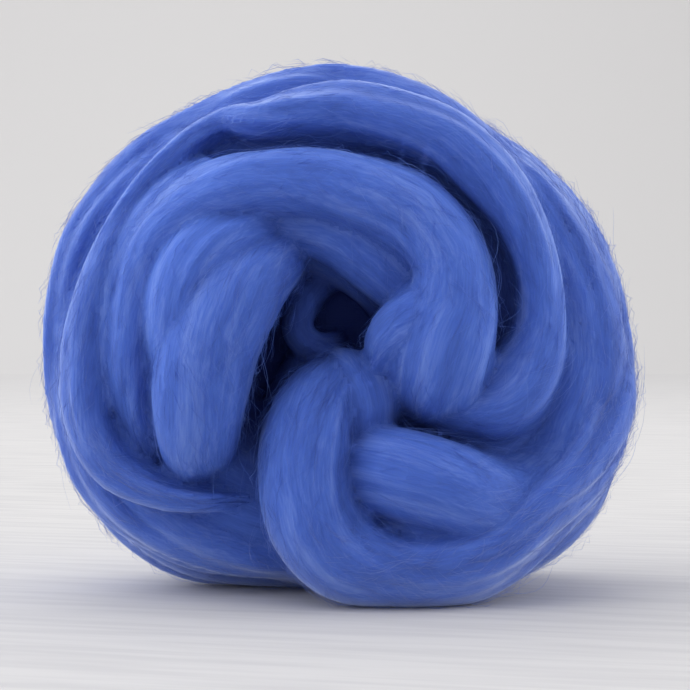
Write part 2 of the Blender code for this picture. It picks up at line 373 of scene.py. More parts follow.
def smooth_route(rows):
    """Sections every STEP millimetres along a smooth curve through the given ones, as an array."""
    points = np.array(rows, dtype=float)
    points = np.vstack([2 * points[0] - points[1], points, 2 * points[-1] - points[-2]])
    route = []
    for before, start, end, after in zip(points, points[1:], points[2:], points[3:]):
        steps = max(2, round(float(np.linalg.norm((end - start)[:3])) / STEP))
        for t in np.arange(steps) / steps:
            straight = (end - before) * t
            bend = (2 * before - 5 * start + 4 * end - after) * t**2
            turn = (3 * start - before - 3 * end + after) * t**3
            route.append(0.5 * (2 * start + straight + bend + turn))
    route.append(points[-2])
    return np.array(route)


def wool_relief(spot):
    """How far the wool stands out at a spot of the straightened strand, in millimetres."""
    x, y, z = spot
    lump = noise.noise(Vector((x / LUMP_LENGTH, y / LUMP_WIDTH, z / LUMP_WIDTH)))
    split = noise.noise(Vector((x / SPLIT_LENGTH, y / SPLIT_SPACING, z / SPLIT_SPACING + SPLIT_SHIFT)))
    ridge = noise.noise(Vector((x / RIDGE_LENGTH, y / RIDGE_WIDTH, z / RIDGE_WIDTH + RIDGE_SHIFT)))
    fine = noise.noise(Vector((x / FINE_LENGTH, y / FINE_WIDTH, z / FINE_WIDTH + FINE_SHIFT)))
    groove = math.exp(-((split / SPLIT_SHARPNESS) ** 2))
    return LUMP_HEIGHT * lump - SPLIT_DEPTH * groove + RIDGE_HEIGHT * ridge + FINE_HEIGHT * fine


def wind(name, rows, twist, lot, relief, relief_later=None):
    """Sweeps one strand. twist is in turns per metre, lot sets which stretch of wool it is, and
    relief is how lumpy it is at its start, and later on if that differs.

    The mesh carries a map named "lay" (0 to 1 along and around the strand) and an attribute named
    "straight": where each point would lie if the strand were pulled straight, in metres.
    """
    route = smooth_route(rows)
    centres, across, through = route[:, :3], route[:, 3], route[:, 4]
    count = len(route)
    girth = 2 * math.pi * math.sqrt((np.mean(across) ** 2 + np.mean(through) ** 2) / 2)
    sides = max(FEWEST_SIDES, round(girth / SIDE_SPACING))
    gaps = np.linalg.norm(np.diff(centres, axis=0), axis=1)
    length = np.concatenate([[0], np.cumsum(gaps)])
    angles = 2 * math.pi * np.arange(sides) / sides
    cosines, sines = np.cos(angles), np.sin(angles)

    relief_later = relief if relief_later is None else relief_later
    lumpy = relief + (relief_later - relief) * np.clip(length / RELIEF_CHANGE - 0.5, 0, 1)

    spots = np.empty((count, sides, 3))
    places = np.empty((count, sides, 3))
    normal = np.array((0.0, -1.0, 0.0))
    for index in range(count):
        tangent = centres[min(index + 1, count - 1)] - centres[max(index - 1, 0)]
        tangent /= np.linalg.norm(tangent)
        # The section turns with the strand, but never more than it has to.
        normal -= normal.dot(tangent) * tangent
        normal /= np.linalg.norm(normal)
        sideways = np.cross(tangent, normal)
        flat = cosines * across[index]
        deep = sines * through[index]
        turn = 2 * math.pi * twist * length[index] * MM
        spots[index, :, 0] = length[index] + lot * LOT_LENGTH
        spots[index, :, 1] = flat * math.cos(turn) - deep * math.sin(turn)
        spots[index, :, 2] = flat * math.sin(turn) + deep * math.cos(turn)
        outwards = np.outer(cosines / across[index], sideways) + np.outer(sines / through[index], normal)
        outwards /= np.linalg.norm(outwards, axis=1)[:, None]
        rise = RELIEF_FLOOR + lumpy[index] * np.array([wool_relief(spot) for spot in spots[index]])
        ring = centres[index] + np.outer(flat, sideways) + np.outer(deep, normal)
        places[index] = ring + outwards * rise[:, None]
    tips = [
        centres[0] + (centres[0] - centres[1]) / gaps[0] * min(across[0], through[0]) * TIP_ROUNDNESS,
        centres[-1] + (centres[-1] - centres[-2]) / gaps[-1] * min(across[-1], through[-1]) * TIP_ROUNDNESS,
    ]
    points = np.vstack([places.reshape(-1, 3), tips])
    points[:, :2] += FOOTPRINT_SHIFT
    # The floor presses the wool flat where the ball stands.
    points[:, 2] = (points[:, 2] + np.sqrt(points[:, 2] ** 2 + FLOOR_SOFTNESS**2)) / 2

    faces, layout = [], []
    for index in range(count - 1):
        low, high = index / (count - 1), (index + 1) / (count - 1)
        for side in range(sides):
            beside = (side + 1) % sides
            here, there = index * sides, (index + 1) * sides
            faces.append((here + beside, here + side, there + side, there + beside))
            left, right = side / sides, (side + 1) / sides
            layout += [(low, right), (low, left), (high, left), (high, right)]
    last = (count - 1) * sides
    for side in range(sides):
        beside = (side + 1) % sides
        faces.append((side, beside, len(points) - 2))
        faces.append((last + beside, last + side, len(points) - 1))
        layout += [(-1.0, -1.0)] * 6
    mesh = bpy.data.meshes.new(name)
    mesh.from_pydata(points * MM, [], faces)
    mesh.uv_layers.new(name="lay").uv.foreach_set("vector", np.array(layout, dtype=np.float32).ravel())
    straight = np.vstack([spots.reshape(-1, 3), spots[0, :1], spots[-1, :1]]) * MM
    mesh.attributes.new("straight", "FLOAT_VECTOR", "POINT").data.foreach_set(
        "vector", straight.astype(np.float32).ravel()
    )
    mesh.shade_smooth()
    turn = bpy.data.objects.new(name, mesh)
    scene.collection.objects.link(turn)
    turn["length_m"] = float(length[-1]) * MM
    turn["girth_m"] = girth * MM
    turn["twist"] = twist
    return turn


# Each strand's name, sections, twist, stretch of wool, relief, and relief later on if that differs.
turns = [
    wind("hook", HOOK, 1.2, 1, 0.5),
    wind("hook_tip", HOOK_TIP, 1.5, 12, 0.35),
    wind("funnel", FUNNEL, 1.0, 2, 0.35),
    wind("funnel_deep", FUNNEL_DEEP, 1.0, 14, 0.35),
    wind("left_lobe", LEFT_LOBE, -1.5, 3, 0.6),
    wind("shoulder", SHOULDER, -1.5, 15, 0.8),
    wind("left_lock", LEFT_LOCK, 1.0, 4, 0.7),
    wind("front_turn", FRONT_DROP + rim_sections(OUTER_TURNS) + back_coil_sections(), 0.6, 5, 0.4, 1.25),
    wind("knuckle", KNUCKLE, 1.5, 6, 0.35),
    wind("heel_turn", HEEL + rim_sections(MIDDLE_TURN), 0.8, 7, 0.35, 1.25),
    wind("fan_turn", FAN, 0.8, 8, 0.5, 1.1),
    wind("curl", CURL, 3.0, 9, 0.35),
    wind("deep_strand", DEEP_STRAND, 1.0, 10, 0.5),
    wind("heel_tuck", HEEL_TUCK, 1.0, 11, 0.5),
    wind("crease_bed", CREASE_BED, 1.0, 13, 0.6),
    wind("left_bed", LEFT_BED, 1.0, 17, 0.6),
]


MATH, VECTOR_MATH = "ShaderNodeMath", "ShaderNodeVectorMath"


def add(tree, kind, inputs=(), **settings):
    """Adds a node. inputs is a list for its first sockets, or maps their names or numbers. Each is a
    value, another node's output, or another node, which stands for its first output."""
    node = tree.nodes.new(kind)
    for name, value in settings.items():
        setattr(node, name, value)
    for place, value in inputs.items() if isinstance(inputs, dict) else enumerate(inputs):
        source = value.outputs[0] if isinstance(value, bpy.types.Node) else value
        if isinstance(source, bpy.types.NodeSocket):
            tree.links.new(source, node.inputs[place])
        else:
            node.inputs[place].default_value = source
    return node


def open_inputs(tree, kinds):
    """Gives a tree its named inputs."""
    for name, kind in kinds.items():
        tree.interface.new_socket(name, in_out="INPUT", socket_type=f"NodeSocket{kind}")


def applied(piece):
    """Keeps what an object's modifiers make as its plain mesh."""
    made = bpy.data.meshes.new_from_object(piece.evaluated_get(bpy.context.evaluated_depsgraph_get()))
    piece.modifiers.clear()
    piece.data = made
    made.name = piece.name
    return piece


def mesh_tree(name):
    """An empty Geometry Nodes tree that takes a mesh and gives one."""
    tree = bpy.data.node_groups.new(name, "GeometryNodeTree")
    tree.interface.new_socket("Mesh", in_out="INPUT", socket_type="NodeSocketGeometry")
    tree.interface.new_socket("Mesh", in_out="OUTPUT", socket_type="NodeSocketGeometry")
    return tree


def bring_tree(group):
    """Brings the bodies of a collection together."""
    tree = mesh_tree("bring_strands")
    together = add(tree, "GeometryNodeCollectionInfo", {"Collection": group})
    add(tree, "NodeGroupOutput", [add(tree, "GeometryNodeRealizeInstances", [together])])
    return tree


def outer_tree():
    """Drops the shells that a remesh draws round the hollows inside."""
    tree = mesh_tree("outer_shell")
    mesh = add(tree, "NodeGroupInput")
    on_points = {"data_type": "FLOAT", "domain": "POINT"}
    island = add(tree, "GeometryNodeInputMeshIsland").outputs["Island Index"]
    size = add(tree, "GeometryNodeAccumulateField", {0: 1.0, "Group ID": island}, **on_points)
    size = size.outputs["Total"]
    largest = add(tree, "GeometryNodeAttributeStatistic", {0: mesh, 2: size}, **on_points)
    small = add(tree, "FunctionNodeCompare", [size, largest.outputs["Max"]], operation="LESS_THAN")
    kept = add(tree, "GeometryNodeDeleteGeometry", [mesh, small], domain="POINT")
    add(tree, "NodeGroupOutput", [kept])
    return tree


def hand_on_tree(group):
    """Gives each point the "straight" place of the strand below it."""
    tree = mesh_tree("hand_on_lay")
    together = add(tree, "GeometryNodeCollectionInfo", {"Collection": group})
    real = add(tree, "GeometryNodeRealizeInstances", [together])
    lay = add(tree, "GeometryNodeInputNamedAttribute", {"Name": "straight"}, data_type="FLOAT_VECTOR")
    nearest = {"Mesh": real, "Value": lay}
    nearest = add(tree, "GeometryNodeSampleNearestSurface", nearest, data_type="FLOAT_VECTOR")
    kept = {0: add(tree, "NodeGroupInput"), "Name": "straight", "Value": nearest}
    kept = add(tree, "GeometryNodeStoreNamedAttribute", kept, data_type="FLOAT_VECTOR", domain="POINT")
    add(tree, "NodeGroupOutput", [kept])
    return tree


SETTLING = 0.5  # how far each round of smoothing moves a point towards its neighbours' middle


def drawn_over(name, bodies, voxel, swell, shrink, rounds):
    """One closed skin over the bodies. They're swollen first, to close gaps between them, and the
    skin is shrunk again after. All in millimetres."""
    group = bpy.data.collections.new(name)
    for body in bodies:
        group.objects.link(body)
    skin = bpy.data.objects.new(name, bpy.data.meshes.new(name))
    scene.collection.objects.link(skin)

    def push(distance):
        if distance:
            displace = skin.modifiers.new("push", "DISPLACE")
            displace.strength = distance * MM
            displace.mid_level = 0

    skin.modifiers.new("bring", "NODES").node_group = bring_tree(group)
    push(swell)
    remesh = skin.modifiers.new("fuse", "REMESH")
    remesh.mode = "VOXEL"
    remesh.voxel_size = voxel * MM
    skin.modifiers.new("outer", "NODES").node_group = outer_tree()
    settle = skin.modifiers.new("settle", "SMOOTH")
    settle.factor = SETTLING
    settle.iterations = rounds
    push(-shrink)
    skin.modifiers.new("hand_on", "NODES").node_group = hand_on_tree(group)
    return applied(skin)


# The wool packed inside: a plain rounded body in the middle of the ball, and a ring of it behind the
# turns of the face. It shows only at the bottom of the deepest creases.
CORE_CENTRE = (0, 13, 68)
CORE_HALF_SIZES = (64, 19, 58)
CORE_SQUARENESS = 3.0
CORE_SEGMENTS, CORE_RINGS = 48, 24
RING_CENTRE = (-5, -8, 71)
RING_RADIUS = 41
RING_HALF_WIDTH, RING_HALF_THICKNESS = 18, 11
RING_ROWS = 24


def wool_core():
    """A rounded box, as one closed body."""
    shape = bmesh.new()
    bmesh.ops.create_uvsphere(shape, u_segments=CORE_SEGMENTS, v_segments=CORE_RINGS, radius=1)
    for vertex in shape.verts:
        reach = sum(abs(part) ** CORE_SQUARENESS for part in vertex.co) ** (1 / CORE_SQUARENESS)
        for axis in range(3):
            vertex.co[axis] = (vertex.co[axis] / reach * CORE_HALF_SIZES[axis] + CORE_CENTRE[axis]) * MM
    mesh = bpy.data.meshes.new("core")
    shape.to_mesh(mesh)
    shape.free()
    straight = mesh.attributes.new("straight", "FLOAT_VECTOR", "POINT")
    for vertex in mesh.vertices:
        straight.data[vertex.index].vector = vertex.co
    body = bpy.data.objects.new("core", mesh)
    scene.collection.objects.link(body)
    return body


def ring_sections():
    """Sections of a strand that lies in a ring behind the face's turns."""
    sections = []
    for row in range(RING_ROWS + 1):
        angle = 2 * math.pi * row / RING_ROWS
        x = RING_CENTRE[0] + RING_RADIUS * math.cos(angle)
        z = RING_CENTRE[2] + RING_RADIUS * math.sin(angle)
        sections.append((x, RING_CENTRE[1], z, RING_HALF_WIDTH, RING_HALF_THICKNESS))
    return sections


def crease_tree():
    """Stores how deep each point lies in a crease, from 0 on the ball's outside to 1. The wool's painted
    shade follows it.
    """
    tree = mesh_tree("measure_creases")
    open_inputs(tree, {"Hull": "Object", "Start": "Float", "Depth": "Float"})
    given = add(tree, "NodeGroupInput").outputs
    hull = add(tree, "GeometryNodeObjectInfo", {"Object": given["Hull"]}).outputs["Geometry"]
    here = add(tree, "GeometryNodeInputPosition")
    on_hull = []
    for value in (here, add(tree, "GeometryNodeInputNormal")):
        inputs = {"Mesh": hull, "Value": value, "Sample Position": here}
        on_hull.append(add(tree, "GeometryNodeSampleNearestSurface", inputs, data_type="FLOAT_VECTOR"))
    way_out, facing = on_hull
    way_out = add(tree, VECTOR_MATH, [way_out, here], operation="SUBTRACT")
    below = add(tree, VECTOR_MATH, [way_out, facing], operation="DOT_PRODUCT")
    share = add(tree, MATH, [below.outputs["Value"], given["Start"]], operation="SUBTRACT")
    share = add(tree, MATH, [share, given["Depth"]], operation="DIVIDE")
    share.use_clamp = True
    stored = {0: given["Mesh"], "Name": "crease", "Value": share}
    stored = add(tree, "GeometryNodeStoreNamedAttribute", stored, data_type="FLOAT", domain="POINT")
    add(tree, "NodeGroupOutput", [stored])
    return tree


def grow(tree, name, source, values):
    """Runs a tree on a copy of source's mesh, and keeps what it makes as a plain mesh."""
    piece = bpy.data.objects.new(name, source.data.copy())
    scene.collection.objects.link(piece)
    modifier = piece.modifiers.new("grow", "NODES")
    modifier.node_group = tree
    for socket in tree.interface.items_tree:
        if socket.in_out == "INPUT" and socket.name in values:
            modifier[socket.identifier] = values[socket.name]
    return applied(piece)


RING_TWIST, RING_LOT, RING_RELIEF = 0.0, 16, 0.0
core = wool_core()
ring = wind("packed_ring", ring_sections(), RING_TWIST, RING_LOT, RING_RELIEF)

# Neighbouring turns cling together where they touch, so one skin is drawn over them all.
SKIN_VOXEL, SKIN_ROUNDS = 1.15, 5
fused = drawn_over("fused", [*turns, core, ring], SKIN_VOXEL, 0, 0, SKIN_ROUNDS)

# A hull that bridges the creases tells how deep they are.
HULL_VOXEL, HULL_SWELL, HULL_ROUNDS = 3.0, 12.0, 6
# The wool's painted shade follows this depth. The first number is how far below the hull it begins, the
# second how much deeper it is full.
CREASE_START, CREASE_DEPTH = 0.0006, 0.019
hull = drawn_over("hull", [*turns, core], HULL_VOXEL, HULL_SWELL, HULL_SWELL, HULL_ROUNDS)
crease_sizes = {"Hull": hull, "Start": CREASE_START, "Depth": CREASE_DEPTH}
skin = grow(crease_tree(), "wound_wool", fused, crease_sizes)
for helper in (fused, hull, core, ring):
    bpy.data.objects.remove(helper)


# ------------------------------------------------------------
# The wool. Merino top, dyed cornflower blue in the fibre and combed so that all fibres lie side by
# side. It has no gloss, a pale glow where its nap is seen edge on, and streaks along the fibres,
# where locks took the dye a little differently. The glow is made stronger at the ball's rim as a
# painted highlight, and deep in the creases the wool is darkened and loses its glow as painted shade.
# ------------------------------------------------------------
WOOL_BLUE = "#5071CB"
WOOL_PALE = "#7793DD"  # a lock that took less dye
WOOL_DEEP = "#435EAE"  # and one that took more
# Painted shade: deep in a crease the wool's colour is mixed towards this dark blue.
WOOL_PAINTED_SHADE = "#1E2C68"  # deep in a crease, where the fibres shade each other
SHADES = (0.26, 0.50, 0.78)  # where the noise gives the deep, the plain and the pale blue
NAP_TINT = "#DCE6FF"
# Painted highlight: the glow at the ball's rim is set stronger than on the face by the place on the ball,
# from a start part of the way out from its centre.
NAP, RIM_PAINTED_HIGHLIGHT = 0.12, 0.85  # the glow on the face and at the ball's rim
NAP_ROUGHNESS = 0.5
# Painted shade: the glow is taken away deep in the creases.
NAP_CREASE_SHADE = -5  # it's lost in the creases
RIM_HIGHLIGHT_START = 0.65  # where the rim starts, as a share of the way out from the ball's centre
BALL_CENTRE = (0, 0, 0.071)
BALL_HALF_WIDTH, BALL_HALF_HEIGHT = 0.080, 0.071
STREAK_LENGTH, STREAK_WIDTH = 0.005, 0.0005  # a fibre is 0.02 mm wide, which is too fine to show
LOCK_LENGTH, LOCK_WIDTH = 0.05, 0.005
STREAK_SHARE, TONE_SHARE = 0.35, 0.3
WANDER, WANDER_LENGTH = 0.0020, 0.010  # how far the streaks wander, and over what length
WOOL_ROUGHNESS, WOOL_SPECULAR = 0.8, 0.08
SCATTER, SCATTER_REACH, SCATTER_COLOURS = 0.6, 0.002, (0.6, 0.8, 1.0)  # light gets into loose wool
BUMP, BUMP_HEIGHT = 0.25, 0.0004


def linear(colour):
    """An sRGB hex colour as Blender's linear RGBA."""
    levels = [int(colour[place : place + 2], 16) / 255 for place in (1, 3, 5)]
    return tuple(v / 12.92 if v <= 0.04045 else ((v + 0.055) / 1.055) ** 2.4 for v in levels) + (1.0,)


def combed_wool(name, fibre):
    """The material of a strand's body, or of the single fibres on it."""
    material = bpy.data.materials.new(name)
    material.use_nodes = True
    tree = material.node_tree
    tree.nodes.clear()
    lie = add(tree, "ShaderNodeAttribute", attribute_name="straight").outputs["Vector"]
    bent = add(tree, "ShaderNodeTexNoise", {"Vector": lie, "Scale": 1 / WANDER_LENGTH, "Detail": 0.0})
    bent = add(tree, VECTOR_MATH, [bent.outputs["Color"], (0.5, 0.5, 0.5)], operation="SUBTRACT")
    bent = add(tree, VECTOR_MATH, {0: bent, "Scale": WANDER}, operation="SCALE")
    lie = add(tree, VECTOR_MATH, [lie, bent], operation="ADD")
    noises = []
    for long, wide, detail in ((LOCK_LENGTH, LOCK_WIDTH, 2.0), (STREAK_LENGTH, STREAK_WIDTH, 3.0)):
        drawn = add(tree, VECTOR_MATH, [lie, (1 / long, 1 / wide, 1 / wide)], operation="MULTIPLY")
        drawn = add(tree, "ShaderNodeTexNoise", {"Vector": drawn, "Scale": 1.0, "Detail": detail})
        noises.append(drawn.outputs["Fac"])
    lock, streak = noises
    shade = add(tree, "ShaderNodeMix", {0: STREAK_SHARE, 2: lock, 3: streak})
    if fibre:
        tone = add(tree, "ShaderNodeAttribute", attribute_name="tone").outputs["Fac"]
        shade = add(tree, "ShaderNodeMix", {0: TONE_SHARE, 2: shade, 3: tone})
    ramp = add(tree, "ShaderNodeValToRGB", {"Fac": shade})
    ramp.color_ramp.elements.new(SHADES[1])
    for stop, place, blue in zip(ramp.color_ramp.elements, SHADES, (WOOL_DEEP, WOOL_BLUE, WOOL_PALE)):
        stop.position = place
        stop.color = linear(blue)
    # Painted shade: the deeper a point lies in a crease, the more its colour is mixed towards the dark
    # blue.
    crease = add(tree, "ShaderNodeAttribute", attribute_name="crease").outputs["Fac"]
    colour = {0: crease, 6: ramp.outputs["Color"], 7: linear(WOOL_PAINTED_SHADE)}
    colour = add(tree, "ShaderNodeMix", colour, data_type="RGBA")
    place = add(tree, "ShaderNodeTexCoord").outputs["Object"]
    outward = add(tree, VECTOR_MATH, [place, BALL_CENTRE], operation="SUBTRACT")
    round_ball = (1 / BALL_HALF_WIDTH, 0, 1 / BALL_HALF_HEIGHT)
    outward = add(tree, VECTOR_MATH, [outward, round_ball], operation="MULTIPLY")
    outward = add(tree, VECTOR_MATH, [outward], operation="LENGTH").outputs["Value"]
    # Painted highlight: the glow grows towards the ball's rim by place alone.
    nap_and_painted_light = {"Value": outward, "From Min": RIM_HIGHLIGHT_START, "To Min": NAP, "To Max": RIM_PAINTED_HIGHLIGHT}
    nap_and_painted_light = add(tree, "ShaderNodeMapRange", nap_and_painted_light)
    # Painted shade: the glow is taken away as the crease deepens.
    nap_and_painted_light = add(tree, MATH, [crease, NAP_CREASE_SHADE, nap_and_painted_light], operation="MULTIPLY_ADD")
    nap_and_painted_light.use_clamp = True
    shader = add(
        tree,
        "ShaderNodeBsdfPrincipled",
        {
            "Base Color": colour.outputs[2],
            "Roughness": WOOL_ROUGHNESS,
            "Specular IOR Level": WOOL_SPECULAR,
            "Subsurface Weight": 0.0 if fibre else SCATTER,
            "Subsurface Radius": SCATTER_COLOURS,
            "Subsurface Scale": SCATTER_REACH,
            "Sheen Weight": nap_and_painted_light,
            "Sheen Roughness": NAP_ROUGHNESS,
            "Sheen Tint": linear(NAP_TINT),
        },
    )
    if not fibre:
        bump = add(tree, "ShaderNodeBump", {"Strength": BUMP, "Distance": BUMP_HEIGHT, "Height": streak})
        tree.links.new(bump.outputs["Normal"], shader.inputs["Normal"])
    add(tree, "ShaderNodeOutputMaterial", {"Surface": shader.outputs["BSDF"]})
    return material


body_wool = combed_wool("merino_top_combed", fibre=False)
fibre_wool = combed_wool("merino_fibre_loose", fibre=True)
skin.data.materials.clear()
skin.data.materials.append(body_wool)


# ------------------------------------------------------------
# The fibres that lie on the strands. Combing leaves them side by side along the strand, each a
# little askew, with tips that lift off the surface. A real one is 0.02 mm thick and can't show at
# this size, so each of these stands for a few that cling together.
# ------------------------------------------------------------
SHORTEST, LONGEST = 0.5, 1.4  # of a lot's fibres, as shares of its length
FIRST_END, LAST_END = 0.001, 0.999  # keep the fibres off the strand's very ends
DRIFT_LENGTH, DRIFT_WIDTH, DRIFT_SHIFT = 0.03, 0.012, 3.7  # how slowly the slant changes
ASKEW = 0.6  # how far one fibre's slant is from its neighbours'
FEWEST_WAVES, MOST_WAVES = 4.0, 11.0  # in radians along a fibre
BOB = 0.7  # a fibre bobs up and down this much slower than it sways
LOWEST, HIGHEST = -0.5, 1.0  # how low or high in the nap a fibre lies, as shares of its lot's lift
ARCH_RARITY, ARCH_HEIGHT = 6.0, 4.0  # the few fibres that arch go this many lifts high
TIP_RARITY, TIP_CURVE = 1.5, 1.5
HIDDEN_SHARE = 0.6  # a fibre goes when more than this share of it lies deep
TAPER = 3.0
THINNEST, THICKEST = 0.7, 1.3
FLOOR_ROOM = 1.5  # a fibre stays this many radii above the floor
FIBRE_SIDES = 3
FULL_TURN = 6.28


def fibre_tree():
    """Geometry Nodes that lay single fibres along a swept strand."""
    tree = bpy.data.node_groups.new("lay_fibres", "GeometryNodeTree")
    numbers = ("Strand length", "Strand girth", "Twist", "Fibre length", "Fibre radius", "From", "To")
    numbers += ("Slant", "Wave", "Lift", "Tip lift", "Hidden depth")
    open_inputs(tree, {"Strand": "Geometry", "Skin": "Object", "Wool": "Material"})
    open_inputs(tree, dict.fromkeys(numbers, "Float"))
    open_inputs(tree, dict.fromkeys(("Count", "Points", "Smoothing", "Seed"), "Int"))
    tree.interface.new_socket("Fibres", in_out="OUTPUT", socket_type="NodeSocketGeometry")
    given = add(tree, "NodeGroupInput").outputs

    # One straight line of points for each fibre.
    line = add(tree, "GeometryNodeCurvePrimitiveLine", {"End": (0.01, 0.0, 0.0)})
    line = add(tree, "GeometryNodeResampleCurve", {"Curve": line, "Count": given["Points"]}, mode="COUNT")
    roots = add(tree, "GeometryNodePoints", {"Count": given["Count"]})
    placed = add(tree, "GeometryNodeInstanceOnPoints", {"Points": roots, "Instance": line})
    lines = add(tree, "GeometryNodeRealizeInstances", [placed])
    way = add(tree, "GeometryNodeSplineParameter").outputs["Factor"]
    fibre = add(tree, "GeometryNodeCurveOfPoint").outputs["Curve Index"]

    def chance(number, low=0.0, high=1.0):
        """A number drawn for each fibre."""
        seed = add(tree, "FunctionNodeIntegerMath", [given["Seed"], number], operation="ADD")
        inputs = {2: low, 3: high, "ID": fibre, "Seed": seed}
        return add(tree, "FunctionNodeRandomValue", inputs, data_type="FLOAT").outputs[1]

    # Where the fibre lies in the strand's own map. Neighbours slant the same way, because the
    # slant comes from a slow noise over the strand.
    start_along, start_around = chance(1, given["From"], given["To"]), chance(2)
    length_share = chance(3, SHORTEST, LONGEST)
    stretch = add(tree, MATH, [given["Fibre length"], length_share], operation="MULTIPLY")
    middle = add(tree, MATH, [way, 0.5], operation="SUBTRACT")
    travel = add(tree, MATH, [middle, stretch], operation="MULTIPLY")
    along = add(tree, MATH, [travel, given["Strand length"]], operation="DIVIDE")
    along = add(tree, MATH, [start_along, along], operation="ADD")
    along = add(tree, MATH, [along, LAST_END], operation="MINIMUM")
    along = add(tree, MATH, [along, FIRST_END], operation="MAXIMUM")
    spot_along = add(tree, MATH, [start_along, given["Strand length"]], operation="MULTIPLY")
    spot_around = add(tree, MATH, [start_around, given["Strand girth"]], operation="MULTIPLY")
    spot = [
        add(tree, MATH, [spot_along, DRIFT_LENGTH], operation="DIVIDE"),
        add(tree, MATH, [spot_around, DRIFT_WIDTH], operation="DIVIDE"),
        add(tree, MATH, [given["Seed"], DRIFT_SHIFT], operation="MULTIPLY"),
    ]
    spot = add(tree, "ShaderNodeCombineXYZ", spot)
    drift = add(tree, "ShaderNodeTexNoise", {"Vector": spot, "Scale": 1.0, "Detail": 1.0})
    drift = add(tree, MATH, [drift.outputs["Fac"], 0.5], operation="SUBTRACT")
    drift = add(tree, MATH, [drift, 2.0], operation="MULTIPLY")
    slant = add(tree, MATH, [drift, chance(4, -ASKEW, ASKEW)], operation="ADD")
    slant = add(tree, MATH, [slant, given["Slant"]], operation="MULTIPLY")
    aside = add(tree, MATH, [travel, slant], operation="MULTIPLY")
    aside = add(tree, MATH, [aside, given["Strand girth"]], operation="DIVIDE")
    phase = add(tree, MATH, [way, chance(5, FEWEST_WAVES, MOST_WAVES)], operation="MULTIPLY")
    phase = add(tree, MATH, [phase, chance(6, 0.0, FULL_TURN)], operation="ADD")
    sway = add(tree, MATH, [phase], operation="SINE")
    sway = add(tree, MATH, [sway, given["Wave"]], operation="MULTIPLY")
    sway = add(tree, MATH, [sway, given["Strand girth"]], operation="DIVIDE")
    bob = add(tree, MATH, [phase, BOB], operation="MULTIPLY")
    bob = add(tree, MATH, [bob], operation="COSINE")
    bob = add(tree, MATH, [bob, given["Wave"]], operation="MULTIPLY")
    around = add(tree, MATH, [aside, sway], operation="ADD")
    around = add(tree, MATH, [start_around, around], operation="ADD")
    twist = add(tree, MATH, [travel, given["Twist"]], operation="MULTIPLY")
    around = add(tree, MATH, [around, twist], operation="SUBTRACT")
    around = add(tree, MATH, [around], operation="FRACT")
    lie = add(tree, "ShaderNodeCombineXYZ", [along, around])
    layout = add(tree, "GeometryNodeInputNamedAttribute", {"Name": "lay"}, data_type="FLOAT_VECTOR")

    def on_strand(value):
        """A value of the strand's mesh, where the fibre lies on it."""
        inputs = {"Mesh": given["Strand"], "Value": value, "UV Map": layout, "Sample UV": lie}
        return add(tree, "GeometryNodeSampleUVSurface", inputs, data_type="FLOAT_VECTOR")

    position = add(tree, "GeometryNodeInputPosition")
    straight = add(tree, "GeometryNodeInputNamedAttribute", {"Name": "straight"}, data_type="FLOAT_VECTOR")
    place, straight = on_strand(position), on_strand(straight)

    # The fibre lies on the ball's own skin. Where its strand runs deeper than this below the skin,
    # it can't be seen, so it goes.
    skin = add(tree, "GeometryNodeObjectInfo", {"Object": given["Skin"]}).outputs["Geometry"]

    def on_skin(value):
        """A value of the skin's mesh, at its nearest place."""
        inputs = {"Mesh": skin, "Value": value, "Sample Position": place}
        return add(tree, "GeometryNodeSampleNearestSurface", inputs, data_type="FLOAT_VECTOR")

    crease = add(tree, "GeometryNodeInputNamedAttribute", {"Name": "crease"}, data_type="FLOAT")
    nearest, crease = on_skin(position), on_skin(crease)
    outwards = on_skin(add(tree, "GeometryNodeInputNormal"))
    inwards = add(tree, VECTOR_MATH, [nearest, place], operation="SUBTRACT")
    depth = add(tree, VECTOR_MATH, [inwards, outwards], operation="DOT_PRODUCT").outputs["Value"]
    is_deep = add(tree, MATH, [depth, given["Hidden depth"]], operation="GREATER_THAN")
    base = add(tree, "ShaderNodeMix", {0: is_deep, 4: nearest, 5: place}, data_type="VECTOR").outputs[1]

    # Most fibres lie in the surface, a few arch over it, and the tips lift.
    rest = add(tree, MATH, [chance(7, LOWEST, HIGHEST), given["Lift"]], operation="MULTIPLY")
    arch = add(tree, MATH, [way, math.pi], operation="MULTIPLY")
    arch = add(tree, MATH, [arch], operation="SINE")
    rarity = add(tree, MATH, [chance(8), ARCH_RARITY], operation="POWER")
    arch = add(tree, MATH, [arch, rarity], operation="MULTIPLY")
    highest = add(tree, MATH, [given["Lift"], ARCH_HEIGHT], operation="MULTIPLY")
    arch = add(tree, MATH, [arch, highest], operation="MULTIPLY")
    tip = add(tree, MATH, [way, TIP_CURVE], operation="POWER")
    rarity = add(tree, MATH, [chance(9), TIP_RARITY], operation="POWER")
    tip = add(tree, MATH, [tip, rarity], operation="MULTIPLY")
    tip = add(tree, MATH, [tip, given["Tip lift"]], operation="MULTIPLY")
    lift = add(tree, MATH, [rest, arch], operation="ADD")
    lift = add(tree, MATH, [lift, bob], operation="ADD")
    lift = add(tree, MATH, [lift, tip], operation="ADD")
    raised = add(tree, VECTOR_MATH, {0: outwards, "Scale": lift}, operation="SCALE")
    raised = add(tree, VECTOR_MATH, [base, raised], operation="ADD")
